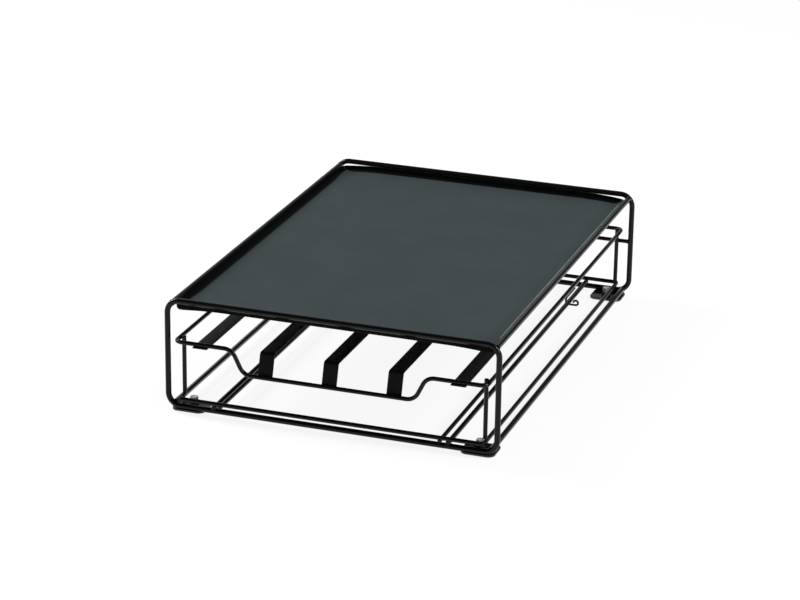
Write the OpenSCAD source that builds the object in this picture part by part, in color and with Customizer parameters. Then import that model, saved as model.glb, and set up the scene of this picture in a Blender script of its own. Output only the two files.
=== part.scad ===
// Coffee pod drawer: a wire stand with a shallow tray on top and a sliding
// wire drawer below it that holds pods by their rims between flat strips.
// Millimetres, +Z up, the front faces -Y, origin on the table under the centre.

/* [Overall] */
// Overall width of the stand over the thick wires
stand_w = 240; // [225:1:288]
// Depth of the stand over the thick wires of both loops
stand_d = 336; // [280:1:400]
// Overall height, from the table to the top of the loops
stand_h = 83; // [70:1:96]

/* [Stand wires] */
// Thickness of the loops and the four long side wires
wire_d = 4; // [3.8:0.1:4.8]
// Centreline radius of the corners of the loops
loop_r = 9; // [7:0.5:11]
// Thickness of the two guide rails
rail_d = 3.5; // [3.2:0.1:3.6]
// Distance of each guide rail from the middle
rail_x = 84.1; // [82:0.1:86]
// Height of the guide rails over the bottom wires, centre to centre
rail_rise = 2.5; // [2.2:0.1:2.6]
// Thickness of the cross wire at the back
cross_d = 3; // [2.5:0.1:3.5]
// Height of the back cross wire over the table
cross_z = 44; // [36:1:46]

/* [Tray] */
// Thickness of the tray sheet
tray_t = 1; // [0.8:0.1:1.5]
// Height of the tray from its underside to the rim of its lip
tray_h = 5.5; // [4.5:0.1:7]
// Outside radius of the tray corners in plan
tray_r = 4; // [3.5:0.5:14]
// Outside radius of the bend between floor and lip
tray_bend = 3; // [2:0.5:4]

/* [Drawer wires] */
// Thickness of the drawer wires
thin_d = 3; // [2.8:0.1:3.6]
// Height of the drawer rim over the table, to the wire's centre
rim_z = 53; // [50:1:60]
// Centreline radius of the corners of the drawer rim
drawer_r = 5; // [4.5:0.5:7]
// Free gap between the sliding drawer and what it passes on each side
side_gap = 0.35; // [0.3:0.05:0.8]
// How far the drawer front stands ahead of the front loop
front_out = 4; // [3.6:0.1:8]
// How far the drawer back stands behind the back loop
back_out = 1; // [0.5:0.1:3]
// How far the floor loop stands inside the rim on all four sides
base_in = 1.8; // [1.4:0.1:2.2]
// Free height between the guide rails and the drawer
slide_gap = 0.3; // [0.3:0.05:0.5]

/* [Hand pull] */
// Depth of the dip in the front of the rim
dip_h = 17.4; // [12:0.1:24]
// Distance from the middle to the centre of each slope of the dip
dip_x = 65.2; // [60:0.1:68]
// Centreline radius of the four bends of the dip
dip_r = 9; // [6:0.5:10]
// Steepness of the slopes of the dip, degrees
dip_a = 64; // [60:1:75]

/* [Strips] */
// Width of each pod strip
strip_w = 10.6; // [8.5:0.1:13]
// Thickness of each pod strip
strip_t = 0.8; // [0.6:0.1:1.2]
// Distance between the middles of neighbouring strips
strip_pitch = 46; // [45:0.1:47]
// Inside radius of the bend at the front of the three middle strips
strip_bend = 1.6; // [1:0.1:2.5]
// Forward lean of the legs of the three middle strips, degrees
lean = 16; // [8:1:22]

/* [Retaining hooks] */
// Thickness of the hook wire
hook_d = 1.6; // [1.2:0.1:1.6]
// Distance of the hooks behind the middle of the stand
hook_y = 122.5; // [90:0.5:130]
// Length of the leg welded to the runner
hook_leg = 23; // [12:1:30]
// Centreline radius of the curl outside the rail
curl_r = 1.8; // [1.7:0.1:2.2]

/* [Feet] */
// Width of each corner plate
plate_w = 24; // [20:0.5:25]
// Depth of each corner plate
plate_l = 21; // [18:0.5:24]
// Thickness of the corner plates
plate_t = 1.2; // [1:0.1:1.5]
// Distance of the corner plates from the side faces of the stand
plate_inset = 4; // [3:0.1:5]
// Diameter of the foot discs
foot_d = 10.4; // [9:0.1:12]
// Height of the bottom wires over the table
pad_h = 2.5; // [2.3:0.1:4]

/* [Hidden] */
$fn = 48;
weld = 0.05;
sunk = 0.02;
short = 0.05;
w2 = stand_w / 2 - wire_d / 2;
d2 = stand_d / 2 - wire_d / 2;
base_z = pad_h + wire_d / 2;
top_z = stand_h - wire_d / 2;
corner_c = loop_r * (1 - cos(45));
side_x = w2 - corner_c;
low_a = 58;
low_x = w2 - loop_r * (1 - cos(low_a));
low_z = base_z + loop_r * (1 - sin(low_a));
side_hi = top_z - corner_c;
side_y = d2 - wire_d / 2 + 2 * weld;
rail_z = base_z + rail_rise;
rail_y = d2 + 1.7;
cross_x = w2 - wire_d / 2 + weld;
tray_z = side_hi - tray_h + 1.6;
tray_x2 = side_x - wire_d / 2 + sunk / 2;
tray_y2 = d2 - wire_d / 2 + 0.22;
drawer_f = d2 + front_out;
drawer_b = d2 + back_out;
floor_z = rail_z + rail_d / 2 + slide_gap + thin_d / 2;
runner_z = floor_z - 0.6 * thin_d;
runner_x = rail_x - rail_d / 2 - side_gap - hook_d - thin_d / 2;
corner_r = loop_r - (wire_d + thin_d) / 2 - side_gap;
corner_h = base_z + loop_r - runner_z;
drawer_x = w2 - loop_r
    + round(100 * sqrt(max(0, corner_r * corner_r - corner_h * corner_h))) / 100;
post_x = drawer_x - thin_d + weld;
post_f = drawer_f - 3 * thin_d;
post_b = d2 - cross_d / 2 - slide_gap - thin_d / 2;
post_lo = floor_z + thin_d / 2 - weld;
base_x = drawer_x - base_in;
base_f = drawer_f - base_in;
base_b = drawer_b - base_in;
base_r = drawer_r - base_in;
runner_f = base_f + 1;
runner_b = base_b + 1;
post_hi = rim_z + thin_d * 0.4;
dip_drop = round(1000 * dip_r * (1 - cos(dip_a))) / 1000;
dip_run = round(1000 * dip_r * sin(dip_a)) / 1000;
dip_mid = (dip_h - 2 * dip_drop) / 2;
dip_half = round(1000 * dip_mid / tan(dip_a)) / 1000;
dip_out = dip_x + dip_half + dip_run;
dip_in = dip_x - dip_half - dip_run;
dip_z = rim_z - dip_h;
bend_a = dip_a - 0.3;
strip_z = rim_z - thin_d / 2 + weld;
strip_b = drawer_b + thin_d / 2;
strip_f = drawer_f + thin_d * 0.75;
turn_r = strip_bend + strip_t;
turn_z = strip_z - turn_r;
turn_y = (thin_d / 2 - weld + turn_r + (turn_z - dip_z) * sin(lean)) / cos(lean) - drawer_f;
leg = (drawer_f + turn_y) * sin(lean) + (turn_z - dip_z) * cos(lean) + 0.3 * thin_d;
hook_x = runner_x + (thin_d + hook_d - sunk) / 2;
hook_z = rail_z - rail_d / 2 - 0.4 - hook_d / 2;
curl_x = rail_x + rail_d / 2 + side_gap + hook_d / 2 + curl_r;
hook_r = 1.2;
plate_x = stand_w / 2 - plate_inset - plate_w / 2;
plate_y = stand_d / 2 - plate_l / 2;
plate_r = 5;
plate_top = pad_h + sunk;
plate_z = plate_top - plate_t;
foot_y = plate_y - 1.5;
shank_r = 1.6;
head_r = 2.9;
foot_x = post_x - thin_d / 2 - side_gap - head_r;
collar_r = 3.4;
collar_top = plate_top + 2.7;
foot_top = floor_z - thin_d / 2 - slide_gap;
mid_y = (strip_f - strip_b) / 2;
black = [0.03, 0.03, 0.03];
slate = [0.08, 0.09, 0.1];
rubber = [0.02, 0.02, 0.02];
grey = [0.5, 0.5, 0.5];

// Moves a piece so that the origin is midway between front and back
module placed()
    translate([0, mid_y, 0]) children();

// Round bars along the three axes

module bar_x(x0, x1, y, z, d)
    translate([x0, y, z]) rotate([0, 90, 0]) cylinder(h = x1 - x0, d = d);

module bar_y(x, y0, y1, z, d)
    translate([x, y0, z]) rotate([-90, 0, 0]) cylinder(h = y1 - y0, d = d);

module bar_z(x, y, z0, z1, d)
    translate([x, y, z0]) cylinder(h = z1 - z0, d = d);

// Bend of a round wire about Z, from +X round to the given angle
module bend(r, d, a)
    rotate_extrude(angle = a) translate([r, 0]) circle(d = d);

// Left and right twins of a part drawn on the right side
module side(s)
    mirror([s < 0 ? 1 : 0, 0, 0]) children();

// Front and back twins of a part drawn at the front
module end(s)
    mirror([0, s > 0 ? 1 : 0, 0]) children();

// Closed wire loop standing in the XZ plane
module standing_loop(y) {
    for (z = [base_z, top_z])
        bar_x(-w2 + loop_r, w2 - loop_r, y, z, wire_d);
    for (s = [-1, 1]) {
        bar_z(s * w2, y, base_z + loop_r, top_z - loop_r, wire_d);
        side(s) translate([w2 - loop_r, y, top_z - loop_r])
            rotate([90, 0, 0]) bend(loop_r, wire_d, 90);
        side(s) translate([w2 - loop_r, y, base_z + loop_r])
            rotate([90, 0, 0]) rotate([0, 0, -90]) bend(loop_r, wire_d, 90);
    }
}

module long_wire(x, z)
    bar_y(x, -side_y, side_y, z, wire_d);

// Guide rail, notched where it is welded down on the loops
module guide_rail(s)
    difference() {
        bar_y(s * rail_x, -rail_y, rail_y, rail_z, rail_d);
        for (y = [-d2, d2])
            bar_x(s * rail_x - rail_d, s * rail_x + rail_d, y, base_z, wire_d - 2 * sunk);
    }

// Upright section of the tray lip, outwards from the centre of a corner
module lip_section() {
    translate([tray_r - tray_bend, tray_bend]) intersection() {
        difference() {
            circle(r = tray_bend);
            circle(r = tray_bend - tray_t);
        }
        translate([0, -tray_bend]) square([tray_bend, tray_bend]);
    }
    translate([tray_r - tray_t, tray_bend])
        square([tray_t, tray_h - tray_bend]);
}

module rounded(x2, y2, r, h) {
    linear_extrude(h) square([2 * x2, 2 * y2 - 2 * r], center = true);
    linear_extrude(h) square([2 * x2 - 2 * r, 2 * y2], center = true);
    for (x = [r - x2, x2 - r], y = [r - y2, y2 - r])
        translate([x, y, 0]) cylinder(h = h, r = r);
}

module tray() {
    x_in = tray_x2 - tray_r;
    y_in = tray_y2 - tray_r;
    translate([0, 0, tray_z]) {
        rounded(tray_x2 - tray_bend, tray_y2 - tray_bend, tray_r - tray_bend, tray_t);
        for (s = [-1, 1]) {
            side(s) translate([x_in, y_in, 0])
                rotate([90, 0, 0]) linear_extrude(2 * y_in) lip_section();
            end(s) translate([x_in, -y_in, 0]) rotate([0, 0, -90])
                rotate([90, 0, 0]) linear_extrude(2 * x_in) lip_section();
            for (e = [-1, 1])
                side(s) end(e) translate([x_in, -y_in, 0]) rotate([0, 0, -90])
                    rotate_extrude(angle = 90) lip_section();
        }
    }
}

module corner_plate(s, e)
    side(s) end(e) difference() {
        translate([plate_x, -plate_y, plate_z])
            rounded(plate_w / 2, plate_l / 2, plate_r, plate_t);
        bar_z(foot_x, -foot_y, 0, stand_h, 2 * shank_r);
    }

// Soft foot: disc under the plate, shank through it and head on the collar
module foot(s, e)
    side(s) end(e) {
        bar_z(foot_x, -foot_y, 0, plate_z, foot_d);
        bar_z(foot_x, -foot_y, plate_z, collar_top, 2 * shank_r);
        bar_z(foot_x, -foot_y, collar_top, foot_top, 2 * head_r);
    }

module collar(s, e)
    side(s) end(e) difference() {
        bar_z(foot_x, -foot_y, plate_top, collar_top, 2 * collar_r);
        bar_z(foot_x, -foot_y, 0, stand_h, 2 * shank_r);
    }

// Left, right and back of a lying loop with all four corners
module loop_sides(x, f, b, r, z) {
    bar_x(-x + r, x - r, b, z, thin_d);
    for (s = [-1, 1]) {
        bar_y(s * x, -f + r, b - r, z, thin_d);
        side(s) translate([x - r, b - r, z]) bend(r, thin_d, 90);
        side(s) translate([x - r, r - f, z]) rotate([0, 0, -90]) bend(r, thin_d, 90);
    }
}

// Rim with a dip in its front; a ball bridges bend and slope at each joint
module rim() {
    loop_sides(drawer_x, drawer_f, drawer_b, drawer_r, rim_z);
    bar_x(-dip_in, dip_in, -drawer_f, dip_z, thin_d);
    for (s = [-1, 1]) side(s) {
        bar_x(dip_out, drawer_x - drawer_r, -drawer_f, rim_z, thin_d);
        translate([dip_out, -drawer_f, rim_z - dip_r])
            rotate([90, 0, 0]) rotate([0, 0, 90]) bend(dip_r, thin_d, bend_a);
        translate([dip_in, -drawer_f, dip_z + dip_r])
            rotate([90, 0, 0]) rotate([0, 0, -90]) bend(dip_r, thin_d, bend_a);
        translate([dip_x - dip_half, -drawer_f, dip_z + dip_drop]) {
            rotate([0, 90 - dip_a, 0]) translate([0, 0, short])
                cylinder(h = 2 * dip_mid / sin(dip_a) - 2 * short, d = thin_d);
            sphere(d = thin_d + 2 * weld);
        }
        translate([dip_x + dip_half, -drawer_f, rim_z - dip_drop])
            sphere(d = thin_d + 2 * weld);
    }
}

module post(s, y)
    bar_z(s * post_x, y, post_lo, post_hi, thin_d);

// Closed loop of the drawer floor, a little smaller than the rim
module floor_loop() {
    loop_sides(base_x, base_f, base_b, base_r, floor_z);
    bar_x(base_r - base_x, base_x - base_r, -base_f, floor_z, thin_d);
}

// Wire along the drawer floor, notched where it is welded under the floor loop
module runner(s)
    difference() {
        bar_y(s * runner_x, -runner_f, runner_b, runner_z, thin_d);
        for (y = [-base_f, base_b])
            bar_x(s * runner_x - thin_d, s * runner_x + thin_d, y, floor_z,
                thin_d - 2 * sunk);
    }

module flat_strip(n)
    translate([(n - 3) * strip_pitch - strip_w / 2, -strip_f, strip_z - strip_t])
        cube([strip_w, strip_f + strip_b, strip_t]);

// Strip that turns down behind the dip; its side view is drawn in YZ
module bent_strip(n)
    translate([(n - 3) * strip_pitch - strip_w / 2, 0, 0])
        rotate([90, 0, 90]) linear_extrude(strip_w) {
            translate([turn_y, strip_z - strip_t])
                square([strip_b - turn_y, strip_t]);
            translate([turn_y, turn_z]) {
                intersection() {
                    difference() {
                        circle(r = turn_r);
                        circle(r = strip_bend);
                    }
                    polygon([[0, 0], [0, 2 * turn_r], [-2 * turn_r, 2 * turn_r],
                        [-2 * turn_r * cos(lean), 2 * turn_r * sin(lean)]]);
                }
                rotate(-lean) translate([-turn_r, -leg]) square([strip_t, leg + short]);
            }
        }

// Hook of one wire: leg along the runner, down beside the rail, under it
// and round in a curl on the far side
module hook(s)
    side(s) {
        translate([hook_x, hook_y, 0]) {
            bar_y(0, hook_r, hook_leg, runner_z, hook_d);
            translate([0, hook_r, runner_z - hook_r])
                rotate([90, 0, 90]) rotate([0, 0, 90]) bend(hook_r, hook_d, 90);
            bar_z(0, 0, hook_z + hook_r, runner_z - hook_r, hook_d);
            translate([hook_r, 0, hook_z + hook_r])
                rotate([90, 0, 0]) rotate([0, 0, 180]) bend(hook_r, hook_d, 90);
        }
        bar_x(hook_x + hook_r, curl_x, hook_y, hook_z, hook_d);
        translate([curl_x, hook_y, hook_z + curl_r])
            rotate([90, 0, 0]) rotate([0, 0, -90]) bend(curl_r, hook_d, 270);
    }

module front_loop() color(black) placed() standing_loop(-d2);
module back_loop() color(black) placed() standing_loop(d2);
module top_wire_left() color(black) placed() long_wire(-side_x, side_hi);
module top_wire_right() color(black) placed() long_wire(side_x, side_hi);
module bottom_wire_left() color(black) placed() long_wire(-low_x, low_z);
module bottom_wire_right() color(black) placed() long_wire(low_x, low_z);
module guide_rail_left() color(black) placed() guide_rail(-1);
module guide_rail_right() color(black) placed() guide_rail(1);
module back_cross_wire() color(black) placed() bar_x(-cross_x, cross_x, d2, cross_z, cross_d);
module top_tray() color(slate) placed() tray();
module plate_front_left() color(black) placed() corner_plate(-1, -1);
module plate_front_right() color(black) placed() corner_plate(1, -1);
module plate_back_left() color(black) placed() corner_plate(-1, 1);
module plate_back_right() color(black) placed() corner_plate(1, 1);
module foot_front_left() color(grey) placed() foot(-1, -1);
module foot_front_right() color(grey) placed() foot(1, -1);
module foot_back_left() color(grey) placed() foot(-1, 1);
module foot_back_right() color(grey) placed() foot(1, 1);
module collar_front_left() color(rubber) placed() collar(-1, -1);
module collar_front_right() color(rubber) placed() collar(1, -1);
module collar_back_left() color(rubber) placed() collar(-1, 1);
module collar_back_right() color(rubber) placed() collar(1, 1);
module drawer_rim() color(black) placed() rim();
module drawer_base() color(black) placed() floor_loop();
module post_front_left() color(black) placed() post(-1, -post_f);
module post_front_right() color(black) placed() post(1, -post_f);
module post_back_left() color(black) placed() post(-1, post_b);
module post_back_right() color(black) placed() post(1, post_b);
module runner_left() color(black) placed() runner(-1);
module runner_right() color(black) placed() runner(1);
module strip_1() color(black) placed() flat_strip(1);
module strip_2() color(black) placed() bent_strip(2);
module strip_3() color(black) placed() bent_strip(3);
module strip_4() color(black) placed() bent_strip(4);
module strip_5() color(black) placed() flat_strip(5);
module hook_left() color(black) placed() hook(-1);
module hook_right() color(black) placed() hook(1);

front_loop();
back_loop();
top_wire_left();
top_wire_right();
bottom_wire_left();
bottom_wire_right();
guide_rail_left();
guide_rail_right();
back_cross_wire();
top_tray();
plate_front_left();
plate_front_right();
plate_back_left();
plate_back_right();
foot_front_left();
foot_front_right();
foot_back_left();
foot_back_right();
collar_front_left();
collar_front_right();
collar_back_left();
collar_back_right();
drawer_rim();
drawer_base();
post_front_left();
post_front_right();
post_back_left();
post_back_right();
runner_left();
runner_right();
strip_1();
strip_2();
strip_3();
strip_4();
strip_5();
hook_left();
hook_right();
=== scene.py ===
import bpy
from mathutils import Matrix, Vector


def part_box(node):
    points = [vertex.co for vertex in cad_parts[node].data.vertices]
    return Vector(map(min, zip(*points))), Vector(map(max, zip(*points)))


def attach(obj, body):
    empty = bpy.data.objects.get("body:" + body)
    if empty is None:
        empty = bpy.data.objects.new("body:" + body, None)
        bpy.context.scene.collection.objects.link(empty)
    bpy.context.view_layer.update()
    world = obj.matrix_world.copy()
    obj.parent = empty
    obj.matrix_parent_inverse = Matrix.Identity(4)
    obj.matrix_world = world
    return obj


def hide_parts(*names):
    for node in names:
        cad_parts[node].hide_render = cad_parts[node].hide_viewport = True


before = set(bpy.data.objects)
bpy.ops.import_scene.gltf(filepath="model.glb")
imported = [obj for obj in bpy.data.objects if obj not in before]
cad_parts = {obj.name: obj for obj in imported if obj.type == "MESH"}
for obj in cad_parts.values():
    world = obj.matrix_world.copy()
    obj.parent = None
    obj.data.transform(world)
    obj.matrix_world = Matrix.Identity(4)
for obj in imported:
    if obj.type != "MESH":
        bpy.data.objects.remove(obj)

"""Looks of a coffee pod drawer: coated wires, a sheet tray, flat strips and soft feet."""

import logging
import math
from dataclasses import dataclass
from enum import Enum
from typing import Any, Iterable, Sequence

import bmesh
import bpy
import numpy as np
from mathutils import Matrix, Vector

logging.basicConfig(level=logging.INFO, format="%(message)s")
LOG = logging.getLogger("pod_drawer")

Colour = tuple[float, float, float]
Point = tuple[float, float, float]
Span = tuple[float, float]

MM = 0.001
MERGE_MM = 0.0005
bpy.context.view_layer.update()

SIDES = {"left": -1.0, "right": 1.0}
ENDS = {"front": -1.0, "back": 1.0}
STRIPS = (1, 2, 3, 4, 5)
BENT_STRIPS = (2, 3, 4)


class Body(Enum):
    """The two bodies that slide along each other."""

    STAND = "stand"
    DRAWER = "drawer"


class Slot(Enum):
    """Names of material slots."""

    STAND_WIRE = "stand_wire"
    DRAWER_WIRE = "drawer_wire"
    POD_STRIP = "pod_strip"
    TRAY_SHEET = "tray_sheet"
    FOOT_GREY = "foot_grey"
    COLLAR_RUBBER = "collar_rubber"


class Axis(Enum):
    """Direction in which a wire runs, as its index in a vector."""

    X = 0
    Y = 1
    Z = 2


# ---------------------------------------------------------------- node trees

# sockets of a Mix node that mixes colours
MIX_SHARE, MIX_FIRST, MIX_SECOND, MIX_RESULT = 0, 6, 7, 2


def opaque(colour: Colour) -> tuple[float, float, float, float]:
    """A colour with full cover."""
    return (*colour, 1.0)


class Tree:
    """Short hand for placing and wiring the nodes of one tree."""

    def __init__(self, tree: bpy.types.NodeTree) -> None:
        """Keeps the tree that the nodes go into."""
        self.tree = tree

    @classmethod
    def fresh(cls, owner: bpy.types.ID) -> "Tree":
        """Empties the node tree of a material or world.

        Args:
            owner: the material or world.

        Returns:
            Its tree, without nodes.
        """
        owner.use_nodes = True
        owner.node_tree.nodes.clear()
        return cls(owner.node_tree)

    def feed(self, made: bpy.types.Node, key: str | int, value: Any) -> None:
        """Links a socket to an input, or sets the input's value.

        Args:
            made: the node.
            key: name or number of its input.
            value: an output socket or a plain value.
        """
        if isinstance(value, bpy.types.NodeSocket):
            self.tree.links.new(value, made.inputs[key])
        else:
            made.inputs[key].default_value = value

    def node(
        self, kind: str, sockets: dict[str | int, Any] | None = None, **settings: Any
    ) -> bpy.types.Node:
        """Adds one node.

        Args:
            kind: the node's type name without its ShaderNode prefix.
            sockets: values or output sockets for its inputs, by name or number.
            **settings: the node's own settings.

        Returns:
            The new node.
        """
        made = self.tree.nodes.new("ShaderNode" + kind)
        for key, value in settings.items():
            setattr(made, key, value)
        for key, value in (sockets or {}).items():
            self.feed(made, key, value)
        return made

    def math(
        self, operation: str, first: Any, second: Any = 0.0, third: Any = 0.0
    ) -> bpy.types.NodeSocket:
        """Adds a Math node and returns its output.

        Args:
            operation: the name of the operation.
            first: value or socket.
            second: value or socket.
            third: value or socket.

        Returns:
            The result's socket.
        """
        sockets = {0: first, 1: second, 2: third}
        return self.node("Math", sockets, operation=operation).outputs[0]

    def noise(
        self, scale: Any, detail: float, vector: Any = None, rough: float = 0.5
    ) -> bpy.types.NodeSocket:
        """Adds a noise on the object's own coordinates.

        Args:
            scale: cells per metre, a value or a socket.
            detail: octaves of the noise.
            vector: coordinates, or None for Object coordinates.
            rough: share of the finer octaves.

        Returns:
            The noise value's socket, 0 to 1 round 0.5.
        """
        if vector is None:
            vector = self.node("TexCoord").outputs["Object"]
        sockets = {"Vector": vector, "Scale": scale, "Detail": detail, "Roughness": rough}
        return self.node("TexNoise", sockets).outputs[0]

    def mix(self, share: Any, first: Any, second: Any) -> bpy.types.NodeSocket:
        """Mixes two colours.

        Args:
            share: share of the second colour.
            first: colour or socket.
            second: colour or socket.

        Returns:
            The mixed colour's socket.
        """
        sockets = {MIX_SHARE: share, MIX_FIRST: first, MIX_SECOND: second}
        return self.node("Mix", sockets, data_type="RGBA").outputs[MIX_RESULT]

    def ramp(
        self, value: Any, low: float, high: float, start: float = 0.0, stop: float = 1.0
    ) -> bpy.types.NodeSocket:
        """Maps low..high to start..stop by a smooth step.

        Args:
            value: the socket to map.
            low: input that gives start.
            high: input that gives stop.
            start: output at low.
            stop: output at high.

        Returns:
            The mapped value's socket.
        """
        sockets = {0: value, 1: low, 2: high, 3: start, 4: stop}
        return self.node("MapRange", sockets, interpolation_type="SMOOTHSTEP").outputs[0]

    def split(self, vector: bpy.types.NodeSocket) -> Any:
        """Splits a vector and returns its outputs X, Y and Z."""
        return self.node("SeparateXYZ", {0: vector}).outputs

    def normal(self) -> Any:
        """Outputs X, Y and Z of the surface's normal."""
        return self.split(self.node("NewGeometry").outputs["Normal"])

    def place(self) -> Any:
        """Outputs X, Y and Z of the object's own coordinates, in metres."""
        return self.split(self.node("TexCoord").outputs["Object"])


def new_group(
    name: str, inputs: dict[str, float], outputs: Sequence[str]
) -> tuple[Tree, bpy.types.Node, bpy.types.Node]:
    """Starts a shader node group of float sockets.

    Args:
        name: the group's name.
        inputs: input names with their usual values.
        outputs: output names.

    Returns:
        The group's tree, its input node and its output node.
    """
    group = bpy.data.node_groups.new(name, "ShaderNodeTree")
    for key, value in inputs.items():
        socket = group.interface.new_socket(key, in_out="INPUT", socket_type="NodeSocketFloat")
        socket.default_value = value
    for key in outputs:
        group.interface.new_socket(key, in_out="OUTPUT", socket_type="NodeSocketFloat")
    return Tree(group), group.nodes.new("NodeGroupInput"), group.nodes.new("NodeGroupOutput")


def build_peel_group() -> bpy.types.NodeTree:
    """Group for sprayed coats: the height of the orange peel and slow patches of gloss.

    Height is a coarse noise plus Grain times the difference of a finer noise and the coarse one.

    Returns:
        The group, with Cells and Grain going in, and Height and Patch coming out.
    """
    coarse_detail, fine_ratio, fine_detail, fine_rough = 1.0, 3.7, 2.0, 0.6
    patch_cells, patch_detail, patch_rough, patch_edges = 34.0, 3.0, 0.55, (0.3, 0.7)
    usual = {"Cells": 900.0, "Grain": 0.3}
    tree, inner, outer = new_group("coat_peel", usual, ("Height", "Patch"))
    cells, grain = inner.outputs["Cells"], inner.outputs["Grain"]
    peel = tree.noise(cells, coarse_detail)
    fine = tree.noise(tree.math("MULTIPLY", cells, fine_ratio), fine_detail, rough=fine_rough)
    height = tree.math("MULTIPLY_ADD", tree.math("SUBTRACT", fine, peel), grain, peel)
    tree.feed(outer, "Height", height)
    slow = tree.noise(patch_cells, patch_detail, rough=patch_rough)
    tree.feed(outer, "Patch", tree.ramp(slow, *patch_edges))
    return tree.tree


def build_dust_group() -> bpy.types.NodeTree:
    """Group for fine dust that settles on what faces up.

    Mask is Amount times how far the surface faces up, fine specks and a slow drift.

    Returns:
        The group, with Amount going in and Mask coming out.
    """
    facing_edges = (0.35, 0.95)
    speck_cells, speck_detail, speck_rough, speck_edges = 2600.0, 2.0, 0.7, (0.48, 0.72)
    drift_cells, drift_detail, drift_edges, drift_least = 22.0, 2.0, (0.35, 0.7), 0.35
    tree, inner, outer = new_group("settled_dust", {"Amount": 0.2}, ("Mask",))
    facing = tree.ramp(tree.normal()["Z"], *facing_edges)
    specks = tree.ramp(tree.noise(speck_cells, speck_detail, rough=speck_rough), *speck_edges)
    drift = tree.ramp(tree.noise(drift_cells, drift_detail), *drift_edges, drift_least)
    mask = tree.math("MULTIPLY", tree.math("MULTIPLY", facing, specks), drift)
    tree.feed(outer, "Mask", tree.math("MULTIPLY", mask, inner.outputs["Amount"]))
    return tree.tree


def build_scuff_group() -> bpy.types.NodeTree:
    """Group for the faint polished line where one wire slides along another.

    Mask is Amount times the crest of the wire and streaks drawn out along Y.

    Returns:
        The group, with Amount going in and Mask coming out.
    """
    crest_edges = (0.93, 0.995)
    streak_cells, streak_detail, streak_edges = (900.0, 14.0, 900.0), 3.0, (0.35, 0.65)
    tree, inner, outer = new_group("slide_scuff", {"Amount": 0.5}, ("Mask",))
    crest = tree.ramp(tree.normal()["Z"], *crest_edges)
    where = tree.node("TexCoord").outputs["Object"]
    drawn = tree.node("Mapping", {"Vector": where, "Scale": streak_cells}).outputs[0]
    streak = tree.ramp(tree.noise(scale=1.0, detail=streak_detail, vector=drawn), *streak_edges)
    mask = tree.math("MULTIPLY", crest, streak)
    tree.feed(outer, "Mask", tree.math("MULTIPLY", mask, inner.outputs["Amount"]))
    return tree.tree


@dataclass(frozen=True)
class Workshop:
    """The node groups that the finishes share."""

    peel: bpy.types.NodeTree
    dust: bpy.types.NodeTree
    scuff: bpy.types.NodeTree

    @classmethod
    def open(cls) -> "Workshop":
        """Builds every group once."""
        return cls(build_peel_group(), build_dust_group(), build_scuff_group())

    @staticmethod
    def place(tree: Tree, group: bpy.types.NodeTree, **values: float) -> bpy.types.Node:
        """Puts a group into a material.

        Args:
            tree: the material's tree.
            group: the group to place.
            **values: its input values.

        Returns:
            The group's node.
        """
        made = tree.node("Group", node_tree=group)
        for key, value in values.items():
            made.inputs[key].default_value = value
        return made


# ------------------------------------------------------------------ finishes


@dataclass(frozen=True)
class PaintedWallShade:
    """Painted shade on a sheet's walls, lip and bend: a near-black colour and less coat there.

    The floor is what faces up below a height and keeps the sheet's own colour. The inner side of
    the right wall keeps it too, as a painted sheen. All else is wall and gets the painted shade.
    Level, inward and right_m are the edges of smooth steps, over parts of the normal and over the
    distance to the right.
    """

    # colour of the painted shade on the walls
    colour: Colour
    coat: float = 0.1
    below_mm: float = 76.25
    below_fade_mm: float = 0.25
    level: Span = (0.95, 0.975)
    inward: Span = (-0.03, -0.12)
    right_m: Span = (0.05, 0.06)

    def floor_and_sheen_mask(self, tree: Tree) -> bpy.types.NodeSocket:
        """Builds the mask of the floor and of the painted sheen, outside the painted shade.

        It is the greater of two products: facing up times lying low, and facing left times
        lying far to the right.

        Args:
            tree: the material's tree.

        Returns:
            The mask's socket, 1 on the floor and the painted sheen, 0 on the walls' painted shade.
        """
        way, place = tree.normal(), tree.place()
        top = self.below_mm * MM
        low = tree.ramp(place["Z"], (self.below_mm - self.below_fade_mm) * MM, top, 1.0, 0.0)
        flat = tree.math("MULTIPLY", tree.ramp(way["Z"], *self.level), low)
        right = tree.ramp(place["X"], *self.right_m)
        # painted sheen: the inner side of the right wall is left out of the painted shade
        inward = tree.math("MULTIPLY", tree.ramp(way["X"], *self.inward), right)
        return tree.math("MAXIMUM", flat, inward)


@dataclass(frozen=True)
class PaintedRimHighlight:
    """A painted highlight: pale colour on the sheet's rim beyond a distance to the right and above
    a height.
    """

    # colour of the painted highlight
    colour: Colour
    beyond_mm: float = 112.5
    above_mm: float = 79.3
    fade_mm: float = 0.4
    cells: float = 60.0
    detail: float = 3.0
    edges: Span = (0.2, 0.5)
    least: float = 0.75

    def mask(self, tree: Tree) -> bpy.types.NodeSocket:
        """Builds the mask of the painted highlight: place to the right times height times slow
        patches.

        Args:
            tree: the material's tree.

        Returns:
            The mask's socket.
        """
        place = tree.place()
        aside, above = (
            tree.ramp(place[key], (edge - self.fade_mm) * MM, edge * MM)
            for key, edge in (("X", self.beyond_mm), ("Z", self.above_mm))
        )
        patchy = tree.ramp(tree.noise(self.cells, self.detail), *self.edges, self.least)
        return tree.math("MULTIPLY", tree.math("MULTIPLY", aside, above), patchy)


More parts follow.
